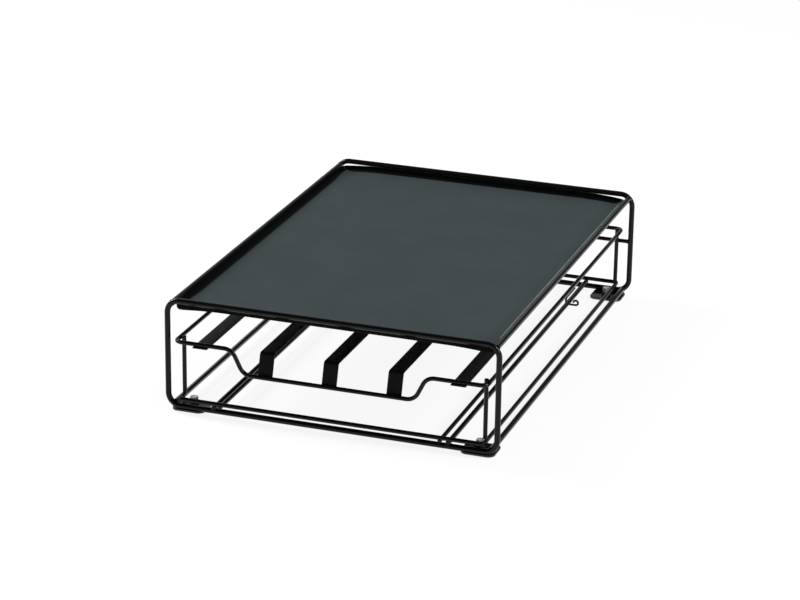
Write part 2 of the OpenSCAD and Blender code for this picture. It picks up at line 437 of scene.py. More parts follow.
@dataclass(frozen=True)
class CoatFinish:
    """A sprayed or moulded finish with peel, gloss patches and a little dust.

    Cells per metre and grain shape the peel, depth_mm and strength its bump. From patch to patch
    the roughness moves by swing and the colour by mottle. Dust and scuff are the amounts of the
    two masks, dust_rough and scuff_polish what they do to the roughness.
    """

    name: str
    colour: Colour
    dusty: Colour = (0.16, 0.16, 0.155)
    roughness: float = 0.3
    swing: float = 0.08
    cells: float = 900.0
    grain: float = 0.3
    depth_mm: float = 0.02
    strength: float = 0.5
    dust: float = 0.1
    dust_rough: float = 0.5
    coat: float = 0.0
    coat_rough: float = 0.1
    specular: float = 0.5
    scuff: float = 0.0
    scuff_polish: float = 0.6
    mottle: float = 0.12
    # painted shade on a sheet's walls and a painted highlight on its rim, where set
    walls: PaintedWallShade | None = None
    rim_highlight: PaintedRimHighlight | None = None

    def paint(self, tree: Tree, patch: bpy.types.NodeSocket) -> tuple[bpy.types.NodeSocket, Any]:
        """Builds the colour under the dust and the weight of the clear coat.

        The colour swings between its own value and 1 + 2 mottle times that. Where set, painted
        shade darkens the walls and a painted highlight lightens the rim.

        Args:
            tree: the material's tree.
            patch: the mask of the slow patches.

        Returns:
            The colour's socket, and the coat's value or socket.
        """
        light = tuple(min(1.0, c * (1.0 + 2.0 * self.mottle)) for c in self.colour)
        paint, coat = tree.mix(patch, opaque(self.colour), opaque(light)), self.coat
        # Painted shade: near black on the walls, lip and bend, with less coat; the floor keeps its
        # colour.
        if self.walls:
            floor = self.walls.floor_and_sheen_mask(tree)
            paint = tree.mix(floor, opaque(self.walls.colour), paint)
            gain = self.coat - self.walls.coat
            coat = tree.math("MULTIPLY_ADD", floor, gain, self.walls.coat)
        # Painted highlight: a pale colour on the rim at the right.
        if self.rim_highlight:
            paint = tree.mix(self.rim_highlight.mask(tree), paint, opaque(self.rim_highlight.colour))
        return paint, coat

    def make(self, shop: Workshop) -> bpy.types.Material:
        """Builds the material.

        Args:
            shop: the shared node groups.

        Returns:
            The new material.
        """
        material = bpy.data.materials.new(self.name)
        tree = Tree.fresh(material)
        peel = shop.place(tree, shop.peel, Cells=self.cells, Grain=self.grain).outputs
        dust = shop.place(tree, shop.dust, Amount=self.dust).outputs["Mask"]
        paint, coat = self.paint(tree, peel["Patch"])
        smoothest = self.roughness - self.swing / 2
        rough = tree.math("MULTIPLY_ADD", peel["Patch"], self.swing, smoothest)
        rough = tree.math("MULTIPLY_ADD", dust, self.dust_rough, rough)
        if self.scuff:
            scuff = shop.place(tree, shop.scuff, Amount=self.scuff).outputs["Mask"]
            rough = tree.math("MULTIPLY_ADD", scuff, -self.scuff_polish * self.roughness, rough)
        distance = self.depth_mm * MM
        sockets = {"Height": peel["Height"], "Strength": self.strength, "Distance": distance}
        shader = tree.node("BsdfPrincipled", {
            "Base Color": tree.mix(dust, paint, opaque(self.dusty)),
            "Roughness": rough,
            "Normal": tree.node("Bump", sockets).outputs[0],
            "Specular IOR Level": self.specular,
            "Coat Weight": coat,
            "Coat Roughness": self.coat_rough,
        })
        tree.node("OutputMaterial", {"Surface": shader.outputs[0]})
        return material


class Look(Enum):
    """The finishes of the object."""

    WIRE = CoatFinish(
        "gloss_black_wire", (0.003, 0.0031, 0.0032), roughness=0.17, swing=0.05, specular=0.2,
        depth_mm=0.004, strength=0.3, dust=0.01,
    )
    RAIL = CoatFinish(
        "gloss_black_rail", (0.003, 0.0031, 0.0032), roughness=0.17, swing=0.05, specular=0.2,
        depth_mm=0.004, strength=0.3, dust=0.01, scuff=0.6,
    )
    DRAWER = CoatFinish(
        "satin_black_wire", (0.0032, 0.0033, 0.0034), roughness=0.19, swing=0.06, specular=0.2,
        depth_mm=0.005, strength=0.35, dust=0.01,
    )
    STRIP = CoatFinish(
        "fine_grain_black", (0.0085, 0.0082, 0.0078), roughness=0.5, swing=0.08, specular=0.14,
        cells=1100.0, grain=0.8, depth_mm=0.16, strength=1.0, dust=0.1,
    )
    TRAY = CoatFinish(
        "slate_sheet", (0.041, 0.052, 0.054), roughness=0.58, swing=0.05, specular=0.0,
        cells=1500.0, grain=0.4, depth_mm=0.006, strength=0.25, dust=0.008, mottle=0.05,
        coat=0.22, coat_rough=0.45,
        # painted shade on the walls and a painted highlight on the right rim
        walls=PaintedWallShade((0.0018, 0.0021, 0.0022)), rim_highlight=PaintedRimHighlight((0.17, 0.185, 0.185)),
    )
    PLATE = CoatFinish(
        "satin_black_plate", (0.004, 0.0041, 0.0042), roughness=0.26, swing=0.1, dust=0.03,
    )
    GREY = CoatFinish(
        "grey_silicone", (0.62, 0.62, 0.61), dusty=(0.4, 0.4, 0.39), roughness=0.5, swing=0.1,
        cells=1400.0, grain=0.5, depth_mm=0.03, strength=0.4, dust=0.15, mottle=0.06,
    )
    RUBBER = CoatFinish(
        "black_rubber", (0.008, 0.008, 0.008), roughness=0.6, swing=0.1, specular=0.3,
        cells=1800.0, grain=0.6, depth_mm=0.03, strength=0.5, dust=0.1,
    )


Finishes = dict[Look, bpy.types.Material]


# ------------------------------------------------------------------ surfaces


class Shell:
    """Collects point grids and turns them into one closed mesh."""

    def __init__(self) -> None:
        """Starts empty."""
        self.points: list[np.ndarray] = []
        self.faces: list[np.ndarray] = []
        self.count = 0

    def grid(self, points: np.ndarray) -> None:
        """Adds a grid of points as quads; its last column joins its first.

        Point (i, j) joins (i+1, j), (i+1, j+1) and (i, j+1).

        Args:
            points: array of rows by columns by 3, in metres.
        """
        rows, cols = points.shape[:2]
        i, j = np.meshgrid(np.arange(rows - 1), np.arange(cols), indexing="ij")
        here, below, beside = i * cols, (i + 1) * cols, (j + 1) % cols
        quads = np.stack([here + j, below + j, below + beside, here + beside], -1)
        self.points.append(points.reshape(-1, 3))
        self.faces.append(quads.reshape(-1, 4) + self.count)
        self.count += rows * cols

    def piece(
        self,
        name: str,
        body: Body,
        slot: Slot,
        material: bpy.types.Material,
        crease: float = 40.0,
    ) -> bpy.types.Object:
        """Makes the object, closes its seams and poles and lets it ride on its body.

        Args:
            name: the piece's name.
            body: the body it moves with.
            slot: a material slot's name; not used.
            material: its finish.
            crease: edges sharper than this many degrees stay sharp.

        Returns:
            The finished object.
        """
        mesh = bpy.data.meshes.new(name)
        mesh.from_pydata(np.concatenate(self.points), [], np.concatenate(self.faces).tolist())
        shape = bmesh.new()
        shape.from_mesh(mesh)
        bmesh.ops.remove_doubles(shape, verts=shape.verts, dist=MERGE_MM * MM)
        bmesh.ops.dissolve_degenerate(shape, edges=shape.edges, dist=MERGE_MM * MM)
        bmesh.ops.recalc_face_normals(shape, faces=shape.faces)
        shape.to_mesh(mesh)
        shape.free()
        mesh.polygons.foreach_set("use_smooth", np.ones(len(mesh.polygons), bool))
        mesh.set_sharp_from_angle(angle=math.radians(crease))
        mesh.materials.append(material)
        made = bpy.data.objects.new(name, mesh)
        bpy.context.scene.collection.objects.link(made)
        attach(made, body.value)
        LOG.info("%s: %d faces on %s", name, len(mesh.polygons), body.value)
        return made


def basis(axis: Axis, sign: float = 1.0) -> np.ndarray:
    """Three rows: two directions across an axis and the axis itself, right-handed.

    Args:
        axis: the axis.
        sign: 1 or -1 along it.

    Returns:
        A 3 by 3 array.
    """
    along = np.eye(3)[axis.value] * sign
    across = np.eye(3)[(axis.value + 1) % 3]
    return np.array([across, np.cross(along, across), along])


def turned(
    profile: np.ndarray,
    centre: Sequence[float],
    axis: Axis = Axis.Z,
    sign: float = 1.0,
    turns: int = 32,
) -> np.ndarray:
    """Surface of revolution: centre + r cos(v) across + r sin(v) other + h along.

    Args:
        profile: rows of radius and height in mm.
        centre: point on the axis at height 0, in mm.
        axis: axis of the turning.
        sign: 1 or -1 along it.
        turns: points round the axis.

    Returns:
        A grid of points in metres.
    """
    angle = np.linspace(0.0, 2.0 * np.pi, turns, endpoint=False)
    across, other, along = basis(axis, sign)
    ring = np.cos(angle)[:, None] * across + np.sin(angle)[:, None] * other
    points = profile[:, 0, None, None] * ring[None] + profile[:, 1, None, None] * along
    return (np.asarray(centre) + points) * MM


def lens(
    centre: Sequence[float], radii: Sequence[float], rows: int = 9, cols: int = 16
) -> np.ndarray:
    """Ellipsoid: centre + (a sin u cos v, b sin u sin v, c cos u), u from 0 to pi.

    Args:
        centre: its middle in mm.
        radii: its three half sizes in mm.
        rows: points from pole to pole.
        cols: points round it.

    Returns:
        A grid of points in metres.
    """
    u = np.linspace(0.0, np.pi, rows)[:, None]
    v = np.linspace(0.0, 2.0 * np.pi, cols, endpoint=False)[None]
    unit = np.stack([np.sin(u) * np.cos(v), np.sin(u) * np.sin(v), np.cos(u) + 0.0 * v], -1)
    return (np.asarray(centre) + unit * np.asarray(radii)) * MM


def arc(centre: Span, radius: float, start: float, stop: float, count: int) -> np.ndarray:
    """Points of a circle: centre + radius (cos a, sin a), a from start to stop in degrees."""
    angle = np.radians(np.linspace(start, stop, count))
    return np.asarray(centre) + radius * np.stack([np.cos(angle), np.sin(angle)], -1)


def middle(node: str) -> np.ndarray:
    """Middle of a CAD node's box, in mm."""
    low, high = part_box(node)
    return np.array((low + high) / 2.0) / MM


def reach(node: str) -> tuple[np.ndarray, np.ndarray]:
    """Lowest and highest corner of a CAD node, in mm."""
    low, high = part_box(node)
    return np.array(low) / MM, np.array(high) / MM


def dress(nodes: Iterable[str], material: bpy.types.Material) -> None:
    """Gives CAD nodes a finish.

    Args:
        nodes: their names.
        material: the finish for all their slots.
    """
    for name in nodes:
        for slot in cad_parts[name].material_slots:
            slot.material = material
        LOG.info("%s: %s", name, material.name)


# -------------------------------------------------------------- sub-assemblies


@dataclass(frozen=True)
class WireEnds:
    """Rounded noses where a cut wire end took its coat of paint."""

    rise: float = 0.32
    seat: float = 0.05
    tuck: float = 0.999
    rows: int = 8
    turns: int = 28

    def nose(
        self, shell: Shell, centre: Sequence[float], radius: float, axis: Axis, sign: float
    ) -> None:
        """Adds one nose: height = rise (1 - (r/R)^3), with its foot just inside the wire.

        Args:
            shell: the mesh to add to.
            centre: middle of the cut end, in mm.
            radius: the wire's radius, in mm.
            axis: the wire's direction.
            sign: the way the end looks.
        """
        share = np.linspace(1.0, 0.0, self.rows)
        top = np.stack([radius * share, self.rise * (1.0 - share**3)], -1)
        foot = np.array([[0.0, -self.seat], [radius * self.tuck, -self.seat]])
        shell.grid(turned(np.concatenate([foot, top]), centre, axis, sign, self.turns))

    def cap(
        self,
        shell: Shell,
        node: str,
        axis: Axis,
        radius: float,
        signs: Sequence[float] = (-1.0, 1.0),
    ) -> None:
        """Adds the noses of a straight wire.

        Args:
            shell: the mesh to add to.
            node: the wire's CAD node.
            axis: the wire's direction.
            radius: its radius in mm.
            signs: which ends get one.
        """
        low, high = reach(node)
        for sign in signs:
            centre = (low + high) / 2.0
            centre[axis.value] = (high if sign > 0 else low)[axis.value]
            self.nose(shell, centre, radius, axis, sign)


@dataclass(frozen=True)
class StandFrame:
    """The fixed wires: two loops, four long wires, two rails and a cross wire.

    Sizes are in mm. The collars are the welds where the long wires butt on the loops.
    """

    wire: float = 4.0
    rail: float = 3.5
    flash: Point = (2.35, 2.45, 0.75)
    flash_share: float = 0.88
    collar_length: float = 1.15
    collar_swell: float = 0.34
    collar_sink: float = 0.06
    collar_wall: float = 0.3
    collar_inset: float = 0.25
    collar_rows: int = 7
    cross_bead: Point = (0.75, 1.75, 1.95)
    cross_inset: float = 0.1

    def dress(self, finishes: Finishes) -> None:
        """Paints the wires, then adds their welds and the noses of the rails.

        Args:
            finishes: the made materials.
        """
        black = finishes[Look.WIRE]
        loops = tuple(f"{end}_loop" for end in ENDS)
        long_wires = tuple(f"{level}_wire_{side}" for level in ("top", "bottom") for side in SIDES)
        dress(loops + long_wires + ("back_cross_wire",), black)
        dress((f"guide_rail_{side}" for side in SIDES), finishes[Look.RAIL])
        self.weld_rails(black, finishes[Look.RAIL])
        self.weld_long_wires(black)
        self.weld_cross(black)

    def weld_rails(self, black: bpy.types.Material, glossy: bpy.types.Material) -> None:
        """Adds the flash pressed out where a rail sinks into a loop, and the rails' noses.

        Args:
            black: finish of the flash.
            glossy: finish of the noses.
        """
        flash, noses, ends = Shell(), Shell(), WireEnds()
        for side in SIDES:
            rail = middle(f"guide_rail_{side}")
            ends.cap(noses, f"guide_rail_{side}", Axis.Y, self.rail / 2)
            for end in ENDS:
                loop = middle(f"{end}_loop")
                low, _ = reach(f"{end}_loop")
                height = low[2] + self.wire * self.flash_share
                flash.grid(lens((rail[0], loop[1], height), self.flash, rows=11, cols=28))
        flash.piece("welds_of_rails", Body.STAND, Slot.STAND_WIRE, black)
        noses.piece("noses_of_rails", Body.STAND, Slot.STAND_WIRE, glossy)

    def weld_long_wires(self, black: bpy.types.Material) -> None:
        """Adds a collar of weld where each long wire butts on the bend of a loop.

        The collar is a ring round the wire whose radius falls off along it as a cosine.

        Args:
            black: finish of the collars.
        """
        along = np.linspace(0.0, 1.0, self.collar_rows)
        bead = self.wire / 2 - self.collar_sink + self.collar_swell * np.cos(along * np.pi / 2)
        inside = self.wire / 2 - self.collar_wall
        rim = np.stack([bead, -self.collar_length * along], -1)
        inner = np.array([[inside, -self.collar_length], [inside, 0.0]])
        ring = np.concatenate([rim, inner, rim[:1]])
        shell = Shell()
        for side in SIDES:
            for level in ("top", "bottom"):
                low, high = reach(f"{level}_wire_{side}")
                axis = (low + high) / 2.0
                for end in ENDS.values():
                    edge = (high if end > 0 else low)[1] - end * self.collar_inset
                    shell.grid(turned(ring, (axis[0], edge, axis[2]), Axis.Y, end, turns=28))
        shell.piece("welds_of_long_wires", Body.STAND, Slot.STAND_WIRE, black)

    def weld_cross(self, black: bpy.types.Material) -> None:
        """Adds the weld beads at both ends of the back cross wire.

        Args:
            black: finish of the beads.
        """
        shell = Shell()
        low, high = reach("back_cross_wire")
        axis = (low + high) / 2.0
        for x, sign in ((low[0], 1.0), (high[0], -1.0)):
            spot = (x + sign * self.cross_inset, axis[1], axis[2])
            shell.grid(lens(spot, self.cross_bead, rows=11, cols=20))
        shell.piece("welds_of_cross_wire", Body.STAND, Slot.STAND_WIRE, black)


@dataclass(frozen=True)
class TrayTop:
    """The sheet tray: floor, bend and lip in one closed skin with a rounded rim.

    Sizes are in mm. Fade is the share of the floor's half width over which its unevenness sets in.
    """

    sheet: float = 1.0
    corner: float = 4.0
    bend: float = 3.6
    dish: float = 0.12
    fade: float = 0.12
    droop: float = 2.3
    droop_reach: float = 36.0
    flare: float = 4.6
    crease: float = 50.0
    per_corner: int = 10
    per_side: int = 44
    per_bend: int = 9
    rings: int = 64

    def path(self, half: Span, inset: float) -> np.ndarray:
        """Rounded rectangle run anticlockwise, moved inwards by inset, and at the sides by more.

        The side walls lean: x is drawn in by flare (1 - (1 - p)^3), p from 0 at the wall to 1
        at the floor.

        Args:
            half: half width and half depth of the tray in mm.
            inset: how far inside the outer wall, in mm.

        Returns:
            Points in mm, the first not repeated.
        """
        radius = self.corner - inset
        parts = []
        for turn, (sx, sy) in enumerate(((1, 1), (-1, 1), (-1, -1), (1, -1))):
            centre = (sx * (half[0] - self.corner), sy * (half[1] - self.corner))
            start = 90.0 * turn
            parts.append(arc(centre, radius, start, start + 90.0, self.per_corner))
        run = []
        for part, following in zip(parts, parts[1:] + parts[:1]):
            step = np.linspace(0.0, 1.0, self.per_side + 2)[1:-1, None]
            run += [part, part[-1] * (1.0 - step) + following[0] * step]
        ring = np.concatenate(run)
        share = np.clip((inset - self.sheet) / (self.bend - self.sheet), 0.0, 1.0)
        ring[:, 0] *= 1.0 - self.flare * (1.0 - (1.0 - share) ** 3) / half[0]
        return ring

    def section(self, height: float) -> np.ndarray:
        """Half section from the underside round the lip to the floor: three arcs.

        Args:
            height: height of the lip over the underside, in mm.

        Returns:
            Rows of inset and height in mm.
        """
        rim_r = self.sheet / 2
        centre, rim_centre = (self.bend, self.bend), (rim_r, height - rim_r)
        outer = arc(centre, self.bend, 270.0, 180.0, self.per_bend)
        rim = arc(rim_centre, rim_r, 180.0, 0.0, self.per_bend)
        inner = arc(centre, self.bend - self.sheet, 180.0, 270.0, self.per_bend)
        return np.concatenate([outer, rim, inner])

    def waves(self, x: np.ndarray, y: np.ndarray) -> np.ndarray:
        """Slow unevenness of pressed sheet: dish times the weighted sum of three long waves.

        One is a wave along x times a wave along y, one runs slantwise and one along x. Their
        numbers are radians per mm, and a start in radians.

        Args:
            x: places in mm.
            y: places in mm.

        Returns:
            Heights in mm.
        """
        broad_share, broad_x, broad_y, broad_start = 0.5, 0.021, 0.013, 0.6
        slant_share, slant_x, slant_y, slant_start = 0.3, 0.017, 0.034, 1.1
        cross_share, cross_x, cross_start = 0.2, 0.047, 0.9
        broad = broad_share * np.sin(broad_x * x + broad_start) * np.cos(broad_y * y)
        slant = slant_share * np.sin(slant_y * y - slant_x * x + slant_start)
        cross = cross_share * np.cos(cross_x * x + cross_start)
        return self.dish * (broad + slant + cross)

    def sag(self, x: np.ndarray, y: np.ndarray, half: Span) -> np.ndarray:
        """How far the corners droop: droop (1 - u/R)^2 (1 - v/R)^2, u and v from the walls.

        Args:
            x: places in mm.
            y: places in mm.
            half: half width and half depth of the tray in mm.

        Returns:
            Depths in mm.
        """
        fall = [
            np.clip(1.0 - (size - np.abs(value)) / self.droop_reach, 0.0, 1.0) ** 2
            for value, size in ((x, half[0]), (y, half[1]))
        ]
        return self.droop * fall[0] * fall[1]

    def build(self, finishes: Finishes) -> None:
        """Makes the tray in place of the plain CAD one.

        Rings run from the middle of the underside over the lip to the middle of the floor.

        Args:
            finishes: the made materials.
        """
        low, high = reach("top_tray")
        half = ((high[0] - low[0]) / 2, (high[1] - low[1]) / 2)
        centre = (low + high) / 2.0
        wall = []
        for inset, height in self.section(high[2] - low[2]):
            ring = self.path(half, inset)
            wall.append(np.column_stack([ring, np.full(len(ring), height)]))
        share = np.linspace(1.0, 0.0, self.rings)[1:]
        fade = np.clip((1.0 - share) / self.fade, 0.0, 1.0)
        disc = share[:, None, None] * self.path(half, self.bend)[None]
        lift = fade[:, None] * self.waves(disc[..., 0], disc[..., 1])
        under, floor = (
            np.concatenate([disc, (face + lift)[..., None]], -1) for face in (0.0, self.sheet)
        )
        points = np.concatenate([under[::-1], np.stack(wall), floor])
        points[..., 2] -= self.sag(points[..., 0], points[..., 1], half)
        shell = Shell()
        shell.grid((points + np.array([centre[0], centre[1], low[2]])) * MM)
        tray = finishes[Look.TRAY]
        made = shell.piece("sheet_tray", Body.STAND, Slot.TRAY_SHEET, tray, self.crease)
        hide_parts("top_tray")


@dataclass(frozen=True)
class Feet:
    """Four soft feet on thin plates: disc, shank and head, with a rubber collar.

    Sizes are in mm. Edge, brow and chin round the disc, the head's top and its underside.
    """

    disc_r: float = 5.2
    disc_h: float = 1.32
    shank_r: float = 1.6
    head_r: float = 2.9
    collar_r: float = 3.4
    edge: float = 0.45
    brow: float = 0.9
    chin: float = 0.3
    sole_r: float = 2.6
    dimple_r: float = 0.9
    hollow: float = 0.12
    bulge: float = 0.55
    edge_points: int = 6
    chin_points: int = 5
    brow_points: int = 8
    bulge_points: int = 13
    turns: int = 40
    tack: Point = (1.5, 1.45, 0.55)
    tack_rise: float = 0.05
    tack_shares: Span = (0.28, 0.62)

    def foot_profile(self, head_z: float, top_z: float) -> np.ndarray:
        """Outline of the foot, from the middle of its sole to the middle of its head.

        It is four arcs and a neck, with a hollow as deep under the sole as in the head.

        Args:
            head_z: height of the head's underside, in mm.
            top_z: height of its top, in mm.

        Returns:
            Rows of radius and height in mm.
        """
        edge_r = self.disc_r - self.edge
        sole = arc((edge_r, self.edge), self.edge, -90.0, 0.0, self.edge_points)
        upper = arc((edge_r, self.disc_h - self.edge), self.edge, 0.0, 90.0, self.edge_points)
        neck = [[self.shank_r, self.disc_h], [self.shank_r, head_z]]
        chin_centre = (self.head_r - self.chin, head_z + self.chin)
        chin = arc(chin_centre, self.chin, -90.0, 0.0, self.chin_points)
        brow_centre = (self.head_r - self.brow, top_z - self.brow)
        crown = arc(brow_centre, self.brow, 0.0, 90.0, self.brow_points)
        dimple = [[self.dimple_r, top_z - self.hollow / 2], [0.0, top_z - self.hollow]]
        start = [[0.0, self.hollow], [self.sole_r, 0.0]]
        return np.concatenate([start, sole, upper, neck, chin, crown, dimple])

    def collar_profile(self, low: float, high: float) -> np.ndarray:
        """Closed section of the collar: between two flat ends, radius R - bulge (2s - 1)^4.

        Args:
            low: height of its lower end, in mm.
            high: height of its upper end, in mm.

        Returns:
            Rows of radius and height in mm.
        """
        rise = np.linspace(0.0, 1.0, self.bulge_points)
        outer = self.collar_r - self.bulge * np.abs(2.0 * rise - 1.0) ** 4
        wall = np.stack([outer, low + rise * (high - low)], -1)
        ends = [[self.shank_r, high], [self.shank_r, low]]
        return np.concatenate([ends[1:], wall, ends])

    def build(self, finishes: Finishes) -> None:
        """Makes the feet and collars in place of the plain ones and paints the plates.

        Args:
            finishes: the made materials.
        """
        corners = [(end, f"{end}_{side}") for end in ENDS for side in SIDES]
        dress((f"plate_{corner}" for _, corner in corners), finishes[Look.PLATE])
        tacks = Shell()
        for end, corner in corners:
            self.build_foot(corner, finishes)
            low, high = reach(f"plate_{corner}")
            height = high[2] + self.tack_rise
            for share in self.tack_shares:
                x = low[0] + share * (high[0] - low[0])
                spot = (x, middle(f"{end}_loop")[1], height)
                tacks.grid(lens(spot, self.tack, rows=9, cols=20))
        tacks.piece("welds_of_plates", Body.STAND, Slot.STAND_WIRE, finishes[Look.WIRE])

    def build_foot(self, corner: str, finishes: Finishes) -> None:
        """Turns one foot and its collar.

        Args:
            corner: the name of its corner.
            finishes: the made materials.
        """
        low, high = reach(f"collar_{corner}")
        centre = middle(f"foot_{corner}")
        place = (centre[0], centre[1], 0.0)
        top_z = reach(f"foot_{corner}")[1][2]
        foot, ring = Shell(), Shell()
        foot.grid(turned(self.foot_profile(high[2], top_z), place, turns=self.turns))
        grey = finishes[Look.GREY]
        made = foot.piece(f"soft_foot_{corner}", Body.STAND, Slot.FOOT_GREY, grey)
        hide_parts(f"foot_{corner}")
        ring.grid(turned(self.collar_profile(low[2], high[2]), place, turns=self.turns))
        rubber = finishes[Look.RUBBER]
        made = ring.piece(f"foot_collar_{corner}", Body.STAND, Slot.COLLAR_RUBBER, rubber)
        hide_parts(f"collar_{corner}")


@dataclass(frozen=True)
class PodStrips:
    """Five flat strips with eased edges; the middle three turn down at the front.

    Sizes are in mm, the lean in degrees from upright.
    """

    width: float = 10.6
    sheet: float = 0.8
    bend: float = 1.6
    lean: float = 16.0
    ease: float = 0.22
    ease_points: int = 5
    run_points: int = 24
    turn_points: int = 12
    leg_points: int = 10

    def section(self) -> np.ndarray:
        """Rounded rectangle across the strip, run anticlockwise.

        Returns:
            Rows of width and thickness in mm.
        """
        x, z = self.width / 2 - self.ease, self.sheet / 2 - self.ease
        corners = ((x, z), (-x, z), (-x, -z), (x, -z))
        return np.concatenate([
            arc(spot, self.ease, 90.0 * turn, 90.0 * turn + 90.0, self.ease_points)
            for turn, spot in enumerate(corners)
        ])

    def route(
        self, low: np.ndarray, high: np.ndarray, bent: bool
    ) -> tuple[np.ndarray, np.ndarray]:
        """Mid-line of a strip in the YZ plane: a level run, and if bent an arc and a leg.

        Args:
            low: the CAD strip's lowest corner in mm.
            high: its highest corner.
            bent: whether the front turns down.

        Returns:
            Points (y, z) from the back to the front, and slopes in radians, 0 where it is level.
        """
        level = high[2] - self.sheet / 2
        if not bent:
            y = np.linspace(high[1], low[1], self.run_points)
            return np.stack([y, np.full_like(y, level)], -1), np.zeros_like(y)
        lean = math.radians(self.lean)
        turn_r, outer = self.bend + self.sheet / 2, self.bend + self.sheet
        drop = high[2] - outer - low[2]
        leg = (drop + self.bend * math.sin(lean)) / math.cos(lean)
        turn_y = low[1] + outer * math.cos(lean) + leg * math.sin(lean)
        y = np.linspace(high[1], turn_y, self.run_points)
        run = np.stack([y, np.full_like(y, level)], -1)
        angle = np.linspace(0.0, math.pi / 2 - lean, self.turn_points)
        curve_z = level - turn_r + turn_r * np.cos(angle)
        curve = np.stack([turn_y - turn_r * np.sin(angle), curve_z], -1)
        along = np.linspace(0.0, leg, self.leg_points)[1:, None]
        down = along * np.array([-math.sin(lean), -math.cos(lean)])
        points = np.concatenate([run, curve[1:], curve[-1] + down])
        slopes = np.concatenate([np.zeros_like(y), angle[1:], np.full(len(down), angle[-1])])
        return points, slopes

    def build(self, finishes: Finishes) -> None:
        """Sweeps each strip: point = mid-line + width across + thickness along its normal.

        Args:
            finishes: the made materials.
        """
        section = self.section()
        for number in STRIPS:
            node = f"strip_{number}"
            low, high = reach(node)
            points, slopes = self.route(low, high, number in BENT_STRIPS)
            shape = (len(points), len(section))
            normal = np.stack([-np.sin(slopes), np.cos(slopes)], -1)
            across = np.broadcast_to((low[0] + high[0]) / 2 + section[:, 0], shape)
            plane = points[:, None] + normal[:, None] * section[None, :, 1, None]
            body = np.concatenate([across[..., None], plane], -1)
            ends = [np.broadcast_to(body[i].mean(0), body[i].shape)[None] for i in (0, -1)]
            shell = Shell()
            shell.grid(np.concatenate([ends[0], body, ends[1]]) * MM)
            black = finishes[Look.STRIP]
            made = shell.piece(f"flat_{node}", Body.DRAWER, Slot.POD_STRIP, black)
            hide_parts(node)


@dataclass(frozen=True)
class DrawerFrame:
    """The sliding wires: rim, floor, posts and hooks, with their welds; sizes in mm."""

    wire: float = 3.0
    floor_flash: Point = (1.85, 1.8, 0.62)
    rim_bead: Point = (0.5, 1.25, 1.25)
    foot_bead: Point = (1.3, 1.75, 0.55)
    foot_out: float = 0.7
    foot_rise: float = 0.05
    strip_bead: Point = (1.3, 1.15, 0.4)
    strip_shares: Span = (-0.28, 0.28)

    def dress(self, finishes: Finishes) -> None:
        """Paints the wires and adds welds and noses.

        Args:
            finishes: the made materials.
        """
        satin = finishes[Look.DRAWER]
        runners = tuple(f"runner_{side}" for side in SIDES)
        hooks = tuple(f"hook_{side}" for side in SIDES)
        posts = tuple(f"post_{end}_{side}" for end in ENDS for side in SIDES)
        dress(("drawer_rim", "drawer_base") + hooks + runners + posts, satin)
        noses, ends = Shell(), WireEnds()
        for node in runners:
            ends.cap(noses, node, Axis.Y, self.wire / 2)
        for node in posts:
            ends.cap(noses, node, Axis.Z, self.wire / 2, (1.0,))
        noses.piece("noses_of_drawer_wires", Body.DRAWER, Slot.DRAWER_WIRE, satin)
        self.weld_floor(satin, runners)
        self.weld_posts(satin)
        self.weld_strips(satin)

    def weld_floor(self, satin: bpy.types.Material, runners: Sequence[str]) -> None:
        """Adds the flash where the runners are pressed into the floor loop from below.

        Args:
            satin: finish of the flash.
            runners: the runners' CAD nodes.
        """
        shell = Shell()
        low, high = reach("drawer_base")
        for node in runners:
            x, _, z = middle(node)
            for y in (low[1] + self.wire / 2, high[1] - self.wire / 2):
                height = (z + (low[2] + high[2]) / 2) / 2
                shell.grid(lens((x, y, height), self.floor_flash, rows=11, cols=24))
        shell.piece("welds_of_floor", Body.DRAWER, Slot.DRAWER_WIRE, satin)

    def weld_posts(self, satin: bpy.types.Material) -> None:
        """Adds the beads between posts and rim, and where the posts stand on the floor loop.

        Args:
            satin: finish of the beads.
        """
        shell = Shell()
        rim_z = reach("drawer_rim")[1][2] - self.wire / 2
        foot_z = reach("drawer_base")[1][2] + self.foot_rise
        for side, sign in SIDES.items():
            for end in ENDS:
                x, y, _ = middle(f"post_{end}_{side}")
                seam = (x + sign * self.wire / 2, y, rim_z)
                shell.grid(lens(seam, self.rim_bead, rows=11, cols=20))
                foot = (x + sign * self.foot_out, y, foot_z)
                shell.grid(lens(foot, self.foot_bead, rows=11, cols=22))
        shell.piece("welds_of_posts", Body.DRAWER, Slot.DRAWER_WIRE, satin)

    def weld_strips(self, satin: bpy.types.Material) -> None:
        """Adds the small beads that hold the strips under the rim.

        Args:
            satin: finish of the beads.
        """
        shell = Shell()
        low, high = reach("drawer_rim")
        back, front = high[1] - self.wire / 2, low[1] + self.wire / 2
        for number in STRIPS:
            left, right = reach(f"strip_{number}")
            rows = (back,) if number in BENT_STRIPS else (back, front)
            for share in self.strip_shares:
                x = (left[0] + right[0]) / 2 + share * (right[0] - left[0])
                for y in rows:
                    shell.grid(lens((x, y, right[2]), self.strip_bead, rows=9, cols=18))
        shell.piece("welds_of_strips", Body.DRAWER, Slot.DRAWER_WIRE, satin)


# ---------------------------------------------------------------------- studio


@dataclass(frozen=True)
class Lamp:
    """One soft rectangular lamp that looks at a point; lengths in metres, power in watts."""

    name: str
    place: Point
    size: Span
    power: float
    aim: Point = (0.0, 0.0, 0.0)

    def hang(self) -> None:
        """Makes the lamp."""
        data = bpy.data.lights.new(self.name, "AREA")
        data.shape = "RECTANGLE"
        data.size, data.size_y = self.size
        data.energy = self.power
        lamp = bpy.data.objects.new(self.name, data)
        way = Vector(self.aim) - Vector(self.place)
        turn = way.to_track_quat("-Z", "Y").to_matrix().to_4x4()
        lamp.matrix_world = Matrix.Translation(self.place) @ turn
        bpy.context.scene.collection.objects.link(lamp)


